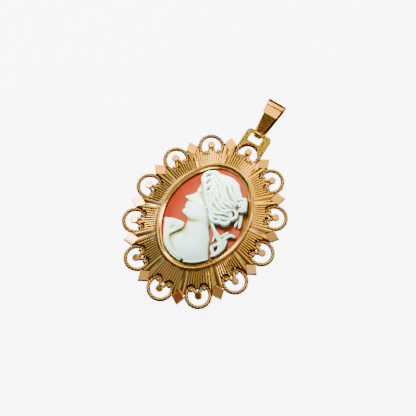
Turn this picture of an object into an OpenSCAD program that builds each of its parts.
// Cameo pendant: a carved shell lady in an oval bezel, set on an engine-turned ray
// plate with a border of wire scrolls, cut grains and lozenges, a hanger and a bail.
// Lengths are millimetres. The origin is the centre of the oval on the flat back,
// +Z is the cameo's face and +Y points to the bail.

/* [Cameo] */
// Width of the shell at its girdle
stone_w = 15; // [13:0.5:17]
// Length of the shell at its girdle
stone_l = 20; // [18:0.5:23]
// Thickness of the orange ground layer
ground_t = 2; // [1.6:0.1:2.4]
// Fall of the ground's bevelled margin
margin_drop = 0.35; // [0.2:0.05:0.5]
// Width of the ground's bevelled margin
margin_w = 0.6; // [0.4:0.05:0.8]
// Greatest height of the white figure above the ground
relief_h = 1.4; // [1:0.1:1.8]

/* [Bezel] */
// Thickness of the closed back sheet
back_t = 0.4; // [0.3:0.05:0.8]
// Height of the seat under the shell, above the back sheet
seat_h = 1.1; // [0.6:0.1:1.6]
// Width of the seat under the shell
seat_w = 0.7; // [0.5:0.1:1.2]
// Thickness of the bezel wall
bezel_wall = 0.52; // [0.45:0.01:0.6]
// How far the lip reaches in over the shell
lip_reach = 0.34; // [0.25:0.01:0.45]
// Fall of the lip from its rim to its inner edge
lip_fall = 0.36; // [0.2:0.02:0.5]
// Thickness of the lip at its inner edge
lip_t = 0.25; // [0.15:0.05:0.4]
// Width of the flat rim on top of the bezel
rim_w = 0.22; // [0.15:0.01:0.3]
// Bevel on the bezel's outer top edge
rim_bevel = 0.12; // [0.05:0.01:0.2]

/* [Ray plate] */
// Height of the plate's top beside the bezel, below the bezel's rim
plate_step = 1.05; // [0.8:0.05:1.3]
// Fall of the plate for each millimetre outward
plate_slope = 0.27; // [0.2:0.01:0.3]
// Thickness of the plate
plate_t = 0.9; // [0.7:0.05:1]
// Depth of the creases at the plate's edge
crease_d = 0.24; // [0.1:0.02:0.3]
// Half width of a crease for each millimetre of depth
crease_flare = 1.8; // [1.2:0.1:2.4]

/* [Border] */
// Number of scrolls round the pendant
scrolls = 12; // [11:1:12]
// Distance from the shell's side to the line through the grains
border_side = 4.57; // [4.5:0.01:5]
// Distance from the shell's end to the line through the grains
border_end = 5.14; // [5:0.01:5.6]
// Height of the wire's centre above the back
wire_z = 1.42; // [1.42:0.01:1.6]
// Width over the two twisted strands of the scroll wire
wire_d = 0.76; // [0.6:0.02:0.84]
// Outer radius of a scroll
scroll_r = 2.5; // [2.3:0.05:2.55]
// Distance from the grain back to the scroll's centre
scroll_back = 0.2; // [0:0.05:0.4]
// Outer radius of the two lobes at a scroll's foot
lobe_r = 0.9; // [0.84:0.02:0.96]
// Half the distance between the two lobes
lobe_u = 1.14; // [1.06:0.02:1.24]
// Radius of the bead in each lobe
bead_r = 0.46; // [0.36:0.02:0.5]
// Width of the wire stems where they meet the grain
stem_d = 0.52; // [0.4:0.02:0.6]
// Diameter of a grain
grain_d = 1.4; // [1.2:0.05:1.5]
// Height of a grain's cut top above the wire's centre
grain_top = 0.86; // [0.7:0.02:1]
// Depth of the cut across the top of a grain
grain_cut = 0.3; // [0.2:0.02:0.4]
// Length of a lozenge
lozenge_l = 2.84; // [2.4:0.02:3.1]
// Thickness of a lozenge
lozenge_t = 0.85; // [0.6:0.05:1]
// Height of a lozenge's top above the wire's centre
lozenge_top = 0.55; // [0.45:0.05:0.7]
// Bevel round the top of a lozenge
lozenge_bevel = 0.08; // [0.04:0.01:0.12]

/* [Hanger] */
// Width of the hanger
hanger_w = 5.1; // [4.7:0.1:5.6]
// Height of the hanger above its scroll
hanger_h = 2.56; // [2.4:0.02:2.8]
// Thickness of the hanger
hanger_t = 0.4; // [0.3:0.02:0.42]
// Distance of the hanger's middle to the left of its scroll's
hanger_side = 0.15; // [0:0.01:0.2]
// Radius of the hanger's top corners
hanger_corner = 0.9; // [0.5:0.1:1.1]
// Width of the hanger's slot
slot_w = 2.46; // [2.3:0.02:2.8]
// Height of the hanger's slot
slot_h = 1.6; // [1.5:0.02:1.7]
// Distance of the slot's middle to the left of the hanger's
slot_side = 0.3; // [0:0.02:0.4]
// Height of the bar above the slot, which the bail goes round
bar_h = 0.8; // [0.6:0.02:0.8]

/* [Bail] */
// Length of the bail from the hanger's bar to its far end
bail_l = 7.05; // [6.5:0.05:8]
// Depth of the bail at its curl
bail_depth = 2.7; // [2.5:0.1:3]
// Thickness of the bail's strip
bail_t = 0.28; // [0.22:0.02:0.32]
// Width of the bail at its curl
bail_w = 3.56; // [3.2:0.02:3.8]
// Width of the curl at its free edge
curl_edge = 2.94; // [2.8:0.02:3.2]
// Width of the front leg under the curl's end
bail_waist = 2.5; // [2.2:0.1:2.8]
// Width of the front leg at the bar
bail_foot = 1.3; // [1.1:0.1:1.5]
// Width of the back leg above the bar
bail_back = 2.3; // [1.8:0.1:2.3]
// Distance from the bail's far end to the curl's free edge
curl_l = 3.25; // [2.9:0.05:3.5]
// Height of the lying bail above the surface that it rests on
bail_rest = 0.02; // [0.01:0.01:0.05]

/* [Fits] */
// Gap between pieces that are set or soldered together
seam = 0.04; // [0.02:0.01:0.06]
// Gap between the ray plate and the scroll wire beside it
plate_gap = 0.1; // [0.06:0.01:0.14]
// Gap between the ray plate and the lozenges beside it
notch_gap = 0.15; // [0.1:0.01:0.2]
// Depth to which a lozenge is soldered into the wire beside it
solder = 0.12; // [0.08:0.01:0.2]
// Gap between the bail and the bar that it swings on
bail_play = 0.07; // [0.05:0.01:0.1]

/* [Hidden] */
$fn = 48;
gold = "goldenrod";
rose_gold = "burlywood";
far = 40;

// The shell's oval: four quarter arcs, the end arcs smaller than the side arcs.
half_w = stone_w / 2;
half_l = stone_l / 2;
arc_c = (half_l - half_w) / (2 - sqrt(2));
end_r = half_l - arc_c;
side_r = half_w + arc_c;

// Heights of the pieces, from the back upward.
shell_z = back_t + seat_h + seam;
ground_z = shell_z + ground_t;
girdle_z = ground_z - margin_drop;
bezel_top = ground_z + seam + lip_t + lip_fall;
plate_z = bezel_top - plate_step;
plate_in = bezel_wall + 2 * seam;

// The oval line through the grains, and the places along it.
line_a = half_w + border_side;
line_b = half_l + border_end;
t_step = 3;
function line_at(t) = [line_a * sin(t), line_b * cos(t)];
line_table = [for (i = 0, s = 0; i <= 360 / t_step;
                   s = s + norm(line_at((i + 1) * t_step) - line_at(i * t_step)), i = i + 1)
              [s, i * t_step]];
line_length = line_table[len(line_table) - 1][0];
function t_of(k) = lookup(k / scrolls * line_length, line_table);
function turn_of(t) = atan2(cos(t) / line_b, sin(t) / line_a) - 90;

// One scroll, with +Y outward and its origin under the grain.
wire_r = wire_d / 2;
ring_r = scroll_r - wire_r;
lobe_turn = asin(lobe_u / (scroll_r - lobe_r));
lobe_v = -scroll_back - (scroll_r - lobe_r) * cos(lobe_turn);
arch_r = lobe_r - wire_r;
lobe_d = norm([lobe_u, lobe_v]);
stem_l = sqrt(lobe_d * lobe_d - arch_r * arch_r);
stem_turn = atan2(-lobe_v, -lobe_u) - asin(arch_r / lobe_d);
arch_end = stem_turn + 90 - 360;
arch_start = lobe_turn - 90;
trim = 0.035;
weld_r = 0.02;

// Lozenges fill the gap that the scrolls leave.
pitch = line_length / scrolls;
lozenge_q = pitch / 2 - scroll_r + solder;
lozenge_p = lozenge_l / 2;
lozenge_out = 0.22;

// The hanger lies under the top scroll, and its bar is the bail's axis.
top_scroll_y = line_b - scroll_back;
hanger_y = top_scroll_y + scroll_r + hanger_h;
bar_y = hanger_y - bar_h / 2;
bar_x = -hanger_side - slot_side;
hanger_z = wire_z - wire_r - seam - hanger_t;
bar_z = hanger_z + hanger_t / 2;
eye_r = norm([bar_h, hanger_t]) / 2 + bail_play;
foot_r = eye_r + bail_t;
curl_r = bail_depth / 2;
curl_y = bar_y + bail_l - curl_r;
curl_z = bail_rest + curl_r;

// The figure is drawn on a grid of 15 by 20 squares laid over the shell, with its zero
// in the middle. Heights are shares of the relief's height.
fig = [stone_w / 15, stone_l / 20, relief_h];

// The face, neck and bust, row by row: [along, front, back, height].
skin = [
    [6.2, -3.4, 2.2, 0.5], [5.5, -3.7, 2.2, 0.56], [4.7, -3.8, 2.2, 0.6],
    [4, -3.75, 2.2, 0.62], [3.5, -3.72, 2.2, 0.63], [3.1, -3.65, 2.2, 0.64],
    [2.7, -3.8, 2.2, 0.65], [2.2, -4.1, 2.2, 0.66], [1.8, -4.45, 2.2, 0.67],
    [1.5, -4.76, 2.2, 0.67], [1.3, -4.87, 2.2, 0.67], [1.1, -4.76, 2.2, 0.67],
    [0.9, -4.16, 2.2, 0.67], [0.65, -4.05, 2.2, 0.66], [0.4, -4.17, 2.2, 0.66],
    [0.2, -4.14, 2.2, 0.65], [0.07, -3.98, 2.15, 0.65], [-0.1, -4.07, 2.1, 0.64],
    [-0.3, -4.05, 2, 0.64], [-0.6, -3.81, 1.9, 0.63], [-0.9, -3.88, 1.8, 0.62],
    [-1.2, -3.96, 1.8, 0.6], [-1.45, -3.84, 1.8, 0.57], [-1.65, -3.52, 1.9, 0.54],
    [-1.85, -3, 2, 0.52], [-2.1, -2.4, 2.2, 0.5], [-2.6, -2.2, 2.55, 0.5],
    [-3.4, -2.1, 3.15, 0.52], [-4.2, -2.15, 3.5, 0.55], [-5, -2.5, 4, 0.6],
    [-5.8, -3.15, 4.4, 0.64], [-6.6, -3.6, 4.8, 0.66], [-7.4, -3.75, 4.5, 0.62],
    [-8.2, -3.2, 3.75, 0.54], [-8.9, -2.25, 2.7, 0.42], [-9.35, -1.2, 1.8, 0.26]
];
// Height across each of those rows: [share of the row, share of its height].
across = [[0, 0.22], [0.03, 0.38], [0.08, 0.52], [0.16, 0.68], [0.27, 0.83], [0.4, 0.94],
          [0.54, 1], [0.68, 0.97], [0.8, 0.84], [0.9, 0.64], [0.96, 0.44], [1, 0.2]];
// The crown of the head under the hair: [across, along, radius, height].
crown = [[-1.9, 6, 1.5, 0.8], [0.5, 6.6, 2, 0.86], [2.7, 5.2, 2.2, 0.86],
         [2.3, 2.6, 2.2, 0.8], [0.6, 2, 1.6, 0.76]];
// Raised strands: [half width, height, points along it].
locks = [
    // Front curls.
    [0.78, 0.86, [[-3, 7.35], [-2.3, 7.55], [-1.7, 7]]],
    [0.62, 0.8, [[-3.85, 6.75], [-3.1, 6.75], [-2.8, 6.2]]],
    [0.52, 0.74, [[-3.35, 5.95], [-2.6, 5.75], [-2.4, 5.1]]],
    [0.45, 0.74, [[-2.75, 4.9], [-2.1, 4.6], [-1.9, 4]]],
    // Locks swept back from the brow to the bun.
    [0.5, 0.9, [[-1.9, 8.05], [-0.3, 8.3], [1.4, 8.15], [2.9, 7.4], [4, 6.3]]],
    [0.62, 0.98, [[-2.2, 7.5], [-0.5, 7.6], [1.2, 7.2], [2.8, 6.3], [3.9, 5]]],
    [0.62, 1, [[-2.4, 6.6], [-0.8, 6.7], [0.9, 6.1], [2.4, 5.1], [3.5, 4.1]]],
    [0.62, 1, [[-2.3, 5.6], [-0.9, 5.7], [0.7, 5], [2, 4], [3.2, 3.2]]],
    [0.6, 0.98, [[-1.9, 4.5], [-0.7, 4.6], [0.7, 3.9], [1.9, 3], [3.2, 2.4]]],
    [0.56, 0.94, [[-1.5, 3.4], [-0.4, 3.5], [0.8, 2.8], [2, 2], [3.4, 1.7]]],
    [0.52, 0.88, [[-1.1, 2.3], [0, 2.3], [1.1, 1.6], [2.3, 1], [3.7, 1.2]]],
    [0.5, 0.8, [[-0.7, 1.2], [0.4, 1], [1.5, 0.5], [2.7, 0.2], [4, 0.7]]],
    // The bun and the roll at the nape.
    [0.62, 0.92, [[3.9, 5.7], [4.8, 5.75], [5.4, 5], [5.2, 4.1], [4.3, 3.7]]],
    [0.5, 0.98, [[3.7, 4.6], [4.3, 5.1], [4.75, 4.7], [4.5, 4.3]]],
    [0.5, 0.8, [[3.6, 3], [4.3, 2.6], [4.4, 1.8], [3.9, 1.3]]],
    [0.34, 0.62, [[3.4, 2.2], [3.9, 1.9], [3.6, 1.5]]],
    // Ribbon tails and the loose lock.
    [0.24, 0.4, [[4.7, 3.9], [5, 3.2], [5.4, 2.4], [5.7, 1.1]]],
    [0.26, 0.4, [[5.2, 3.9], [5.6, 3.1], [6, 2.2], [6.4, 1.3]]],
    [0.24, 0.46, [[1, 0.1], [2.1, -0.9], [3.1, -1.6], [4.2, -2.1], [5, -2.8]]],
    [0.2, 0.36, [[2.5, -1.2], [3.4, -2.2], [4.4, -2.9], [4.9, -3]]],
    // The lyre of ribbon behind the neck.
    [0.26, 0.5, [[6.4, -0.75], [5.8, -0.85], [5.4, -1.6], [5.15, -2.6]]],
    [0.42, 0.52, [[5.15, -2.4], [5.4, -3.4], [5.6, -4.4], [5.3, -5.3]]],
    [0.3, 0.46, [[5.1, -2.8], [4.5, -3.6], [4, -4.3]]],
    [0.3, 0.44, [[5.7, -2.2], [5.75, -3.6], [5.3, -5], [4.9, -5.7]]],
    [0.26, 0.4, [[4, -4.4], [4.7, -4.9], [5.1, -5.3]]],
    [0.2, 0.34, [[5.05, -0.7], [4.7, -1.5], [4.35, -2.2]]],
    [0.18, 0.3, [[3.5, -2.4], [3.7, -3.3]]],
    // Folds of the drapery.
    [0.4, 0.48, [[-5.2, -4.15], [-4.2, -3.65], [-3.2, -3.5], [-2.5, -3.8]]],
    [0.52, 0.56, [[-5.1, -4.6], [-4.4, -5.9], [-3.2, -7.4], [-1.8, -8.6]]],
    [0.5, 0.62, [[-4.2, -4.4], [-3.6, -5.6], [-2.7, -7], [-1.4, -8.2]]],
    [0.46, 0.68, [[-2.55, -4.3], [-3.1, -5.4], [-2.6, -6.7], [-1.3, -7.9], [0.6, -8.6], [2.4, -8.1]]],
    [0.42, 0.5, [[-1.8, -8.7], [-0.4, -9.1], [0.4, -9]]],
    [0.42, 0.5, [[1.5, -9], [2.9, -8.3], [4.3, -6.9]]],
    // Brow, lids, nostril, lips and ear.
    [0.2, 0.72, [[-3.55, 3.45], [-3, 3.6], [-2.3, 3.35]]],
    [0.15, 0.76, [[-3.35, 2.75], [-3, 2.95], [-2.5, 2.7]]],
    [0.24, 0.7, [[-3.1, 2.65], [-2.85, 2.62]]],
    [0.24, 0.66, [[-4.1, 1.2], [-3.9, 1.3]]],
    [0.15, 0.6, [[-3.98, 0.33], [-3.55, 0.16]]],
    [0.16, 0.6, [[-3.92, -0.16], [-3.55, 0]]],
    [0.3, 0.84, [[-1.15, 1.9], [-0.95, 1.1]]]
];

// A solid of the shell's oval. Each row is [distance out from the girdle, height]. The two
// end parts reach under the side parts.
module oval_body(rows) {
    low = rows[0].y;
    high = rows[len(rows) - 1].y;
    under = 12;
    for (s = [0, 180]) rotate([0, 0, s]) {
        translate([-arc_c, 0, 0]) rotate([0, 0, -45]) rotate_extrude(angle = 90)
            polygon(concat([[0, low]], [for (p = rows) [side_r + p.x, p.y]], [[0, high]]));
        translate([0, arc_c, 0]) rotate([0, 0, 45 - under])
            rotate_extrude(angle = 90 + 2 * under)
            polygon(concat([[0, low]], [for (p = rows) [end_r + p.x, p.y]], [[0, high]]));
    }
}

// Puts its children on the grain line at scroll number k, turned outward.
module at_line(k) {
    t = t_of(k);
    p = line_at(t);
    translate([p.x, p.y, 0]) rotate([0, 0, turn_of(t)]) children();
}

module cameo_ground() {
    color("indianred")
        oval_body([[0, shell_z], [0, girdle_z], [-margin_w, ground_z]]);
}

module bezel() {
    wall = bezel_wall + seam;
    lip_z = ground_z + seam;
    rim_in = wall - rim_bevel - rim_w;
    foot = 0.06;
    color(gold) {
        oval_body([[wall / 2, 0], [wall / 2, back_t]]);
        difference() {
            oval_body([[wall, foot], [wall, bezel_top - rim_bevel],
                       [wall - rim_bevel, bezel_top]]);
            oval_body([[seam, -1], [seam, lip_z - margin_drop], [-lip_reach, lip_z]]);
            oval_body([[-lip_reach, -1], [-lip_reach, lip_z + lip_t], [rim_in, bezel_top],
                       [rim_in, far]]);
        }
        difference() {
            oval_body([[wall / 3, back_t / 2], [wall / 3, back_t + seat_h]]);
            oval_body([[-seat_w, -1], [-seat_w, far]]);
        }
    }
}

// The space that one scroll takes out of the ray plate.
module scroll_room() {
    gap = plate_gap;
    for (s = [-1, 1])
        translate([s * lobe_u, lobe_v, 0]) cylinder(h = far, r = lobe_r + gap);
    intersection() {
        translate([0, -scroll_back, 0]) cylinder(h = far, r = scroll_r + gap);
        translate([-far / 2, lobe_v - plate_gap, 0]) cube([far, far, far]);
    }
}

// A lozenge-shaped prism with its sides moved out by grow and its top edge bevelled.
module lozenge_prism(grow, z0, z1, bevel) {
    side = norm([lozenge_p, lozenge_q]);
    w = lozenge_p * lozenge_q / side + grow;
    intersection_for(s = [-1, 1])
        rotate([0, 0, s * atan2(lozenge_q, lozenge_p)]) rotate([90, 0, 0])
            linear_extrude(height = 4 * side, center = true)
                polygon([[-w, z0], [w, z0], [w, z1 - bevel], [w - bevel, z1],
                         [bevel - w, z1], [-w, z1 - bevel]]);
}

// One crease: a shallow V that starts at the bezel and deepens outward.
module crease(t) {
    inner = [(half_w + plate_in) * sin(t), (half_l + plate_in) * cos(t)];
    outer = [(line_a + lozenge_out) * sin(t), (line_b + lozenge_out) * cos(t)];
    run = norm(outer - inner);
    fall = run * plate_slope + crease_d;
    depth = 1;
    translate([inner.x, inner.y, plate_z])
        rotate([0, 0, atan2(outer.y - inner.y, outer.x - inner.x)])
            rotate([0, atan2(fall, run), 0]) rotate([90, 0, 90])
                linear_extrude(height = run + 1)
                    polygon([[0, 0], [crease_flare * depth, depth],
                             [-crease_flare * depth, depth]]);
}

// The ray plate's sloping sheet, before its outline and creases are cut.
module ray_sheet() {
    reach = border_end + 0.5;
    low = plate_z - reach * plate_slope;
    difference() {
        intersection() {
            oval_body([[plate_in + reach, low - plate_t], [plate_in + reach, low],
                       [plate_in, plate_z]]);
            linear_extrude(height = far)
                polygon([for (k = [0:scrolls - 1]) line_at(t_of(k + 0.5))]);
        }
        oval_body([[plate_in + reach + 1, -1],
                   [plate_in + reach + 1, low - plate_slope - plate_t],
                   [plate_in, plate_z - plate_t]]);
        oval_body([[plate_in, -1], [plate_in, far]]);
    }
}

module ray_plate() {
    color(gold) difference() {
        ray_sheet();
        for (k = [0:scrolls - 1]) {
            at_line(k) scroll_room();
            at_line(k + 0.5) translate([0, lozenge_out, 0])
                lozenge_prism(notch_gap, 0, far, 0);
            crease(t_of(k + 0.5));
        }
    }
}

// A piece of the scroll's wire round c, from angle a0 to a1, short of both ends.
module arc_wire(c, r, a0, a1) {
    t = asin(trim / r);
    translate([c.x, c.y, wire_z]) rotate([0, 0, a0 + t])
        rotate_extrude(angle = a1 - a0 - 2 * t) translate([r, 0]) circle(wire_r);
}

// The drop of solder that joins two pieces of wire of radius r at p.
module weld(p, r) {
    translate([p.x, p.y, wire_z]) rotate([90, 0, 0]) sphere(r + weld_r);
}

// One scroll: the ring, two lobes with their beads, two stems and the cut grain.
module scroll() {
    ring_end = [lobe_u + arch_r * cos(arch_start), lobe_v + arch_r * sin(arch_start)];
    stem_end = [lobe_u + arch_r * cos(arch_end), lobe_v + arch_r * sin(arch_end)];
    arc_wire([0, -scroll_back], ring_r, arch_start, 270 - lobe_turn);
    for (m = [0, 1]) mirror([m, 0, 0]) {
        arc_wire([lobe_u, lobe_v], arch_r, arch_end, arch_start);
        weld(ring_end, wire_r);
        weld(stem_end, wire_r);
        translate([lobe_u, lobe_v, wire_z]) rotate([90, 0, 0]) sphere(bead_r);
        translate([stem_end.x, stem_end.y, wire_z]) rotate([0, 0, stem_turn])
            rotate([0, 90, 0]) translate([0, 0, trim])
                cylinder(h = stem_l - trim, r1 = wire_r, r2 = stem_d / 2);
    }
    weld([0, 0], stem_d / 2 + weld_r);
    intersection() {
        translate([0, 0, wire_z + grain_top + grain_cut - grain_d / 2]) sphere(grain_d / 2);
        translate([-grain_d, -grain_d, 0])
            cube([2 * grain_d, 2 * grain_d, wire_z + grain_top]);
    }
}

module scroll_border() {
    top = wire_z + lozenge_top;
    color(rose_gold) for (k = [0:scrolls - 1]) {
        at_line(k) scroll();
        at_line(k + 0.5) translate([0, lozenge_out, 0])
            lozenge_prism(0, top - lozenge_t, top, lozenge_bevel);
    }
}

module hanger() {
    w = hanger_w;
    c = hanger_corner;
    low_y = top_scroll_y;
    rim_y = hanger_y - c;
    color(gold) difference() {
        translate([-hanger_side, 0, hanger_z]) {
            translate([-w / 2, low_y, 0]) cube([w, rim_y - low_y, hanger_t]);
            translate([c - w / 2, rim_y, 0]) cube([w - 2 * c, c, hanger_t]);
            for (s = [-1, 1])
                translate([s * (w / 2 - c), rim_y, 0]) cylinder(h = hanger_t, r = c);
        }
        translate([0, top_scroll_y, hanger_z - 1])
            cylinder(h = hanger_t + 2, r = ring_r - wire_r);
        translate([bar_x - slot_w / 2, hanger_y - bar_h - slot_h, hanger_z - 1])
            cube([slot_w, slot_h, hanger_t + 2]);
    }
}

// The side outline of the bail: two circles and the band between them, all w wide.
module teardrop(curl, foot, w) {
    d = [curl_y - bar_y, curl_z - bar_z];
    lean = atan2(d.y, d.x);
    spread = acos((foot - curl) / norm(d));
    function rim(c, r, a) = [c.x + r * cos(a), c.y + r * sin(a)];
    b = [bar_y, bar_z];
    e = [curl_y, curl_z];
    up = lean + spread;
    down = lean - spread;
    rotate([90, 0, 90]) linear_extrude(height = w, center = true)
        polygon([b, rim(b, foot, down), rim(e, curl, down), e, rim(e, curl, up),
                 rim(b, foot, up)]);
    translate([0, bar_y, bar_z]) rotate([0, 90, 0]) cylinder(h = w, r = foot, center = true);
    translate([0, curl_y, curl_z]) rotate([0, 90, 0]) cylinder(h = w, r = curl, center = true);
}

// A block over an outline of [height along the bail, half width] rows.
module bail_outline(rows, z0, z1) {
    n = len(rows) - 1;
    translate([0, 0, z0]) linear_extrude(height = z1 - z0)
        polygon(concat([for (r = rows) [r.y, r.x]],
                       [for (i = [n:-1:0]) [-rows[i].y, rows[i].x]]));
}

module bail() {
    w = bail_w + 2;
    tip_y = curl_y + curl_r;
    edge_y = tip_y - curl_l;
    tuck = 0.5;
    start_y = bar_y - foot_r - 1;
    front = [[start_y, bail_foot / 2], [bar_y, bail_foot / 2], [edge_y, bail_waist / 2],
             [tip_y + 1, bail_w / 2 + 0.5]];
    back = [[start_y, bail_foot / 2], [bar_y - eye_r, bail_foot / 2],
            [bar_y + eye_r, bail_back / 2], [tip_y, bail_w / 2], [tip_y + 1, bail_w / 2]];
    curl = [[start_y, curl_edge / 2], [edge_y, curl_edge / 2], [tip_y - 0.3, bail_w / 2],
            [tip_y + 1, bail_w / 2]];
    color(gold) translate([bar_x, 0, 0]) {
        intersection() {
            difference() {
                teardrop(curl_r, foot_r, w);
                teardrop(curl_r - bail_t, eye_r, w + 1);
            }
            bail_outline(back, -far, bar_z);
        }
        intersection() {
            difference() {
                teardrop(curl_r, foot_r, w);
                teardrop(curl_r - bail_t, eye_r, w + 1);
                translate([-far / 2, 0, bar_z]) cube([far, edge_y, far]);
            }
            bail_outline(curl, bar_z, far);
        }
        intersection() {
            difference() {
                teardrop(curl_r - bail_t, foot_r, w);
                teardrop(curl_r - 2 * bail_t, eye_r, w + 1);
            }
            bail_outline(front, bar_z, far);
            translate([-far / 2, 0, bar_z]) cube([far, edge_y + tuck, far]);
        }
    }
}

// The face, neck and bust as one closed body, lofted through the rows.
module skin_body() {
    nr = len(skin);
    nc = len(across);
    n = nr * nc;
    top = [for (r = skin, c = across)
           [fig.x * (r[1] + (r[2] - r[1]) * c[0]), fig.y * r[0], fig.z * r[3] * c[1]]];
    low = [for (p = top) [p.x, p.y, -1]];
    polyhedron(points = concat(top, low), faces = concat(
        [for (i = [0:nr - 2], j = [0:nc - 2])
         let (a = i * nc + j) each [[a, a + 1, a + nc + 1, a + nc],
                                    [n + a, n + a + nc, n + a + nc + 1, n + a + 1]]],
        [for (i = [0:nr - 2])
         let (a = i * nc, b = a + nc - 1) each [[a, a + nc, n + a + nc, n + a],
                                                [b, n + b, n + b + nc, b + nc]]],
        [for (j = [0:nc - 2])
         let (b = n - nc + j) each [[j, n + j, n + j + 1, j + 1],
                                    [b, b + 1, n + b + 1, n + b]]]));
}

// A flattened bead at p, r across and h high.
module bead(p, r, h) {
    translate([fig.x * p.x, fig.y * p.y, 0]) scale([1, 1, fig.z * h / (fig.x * r)])
        sphere(fig.x * r, $fn = 10);
}

// A strand through its points, narrower at both ends.
module strand(s) {
    n = len(s[2]) - 1;
    for (i = [0:n - 1]) hull() for (j = [i, i + 1])
        bead(s[2][j], s[0] * (j == 0 || j == n ? 0.7 : 1), s[1] * (j == 0 || j == n ? 0.8 : 1));
}

module cameo_relief() {
    clear = lip_reach + 0.12;
    color("ivory") translate([0, 0, ground_z]) intersection() {
        union() {
            skin_body();
            hull() for (c = crown) bead([c[0], c[1]], c[2], c[3]);
            for (s = locks) strand(s);
        }
        oval_body([[-clear, 0], [-clear, 2 * relief_h]]);
    }
}

cameo_ground();
cameo_relief();
bezel();
ray_plate();
scroll_border();
hanger();
bail();
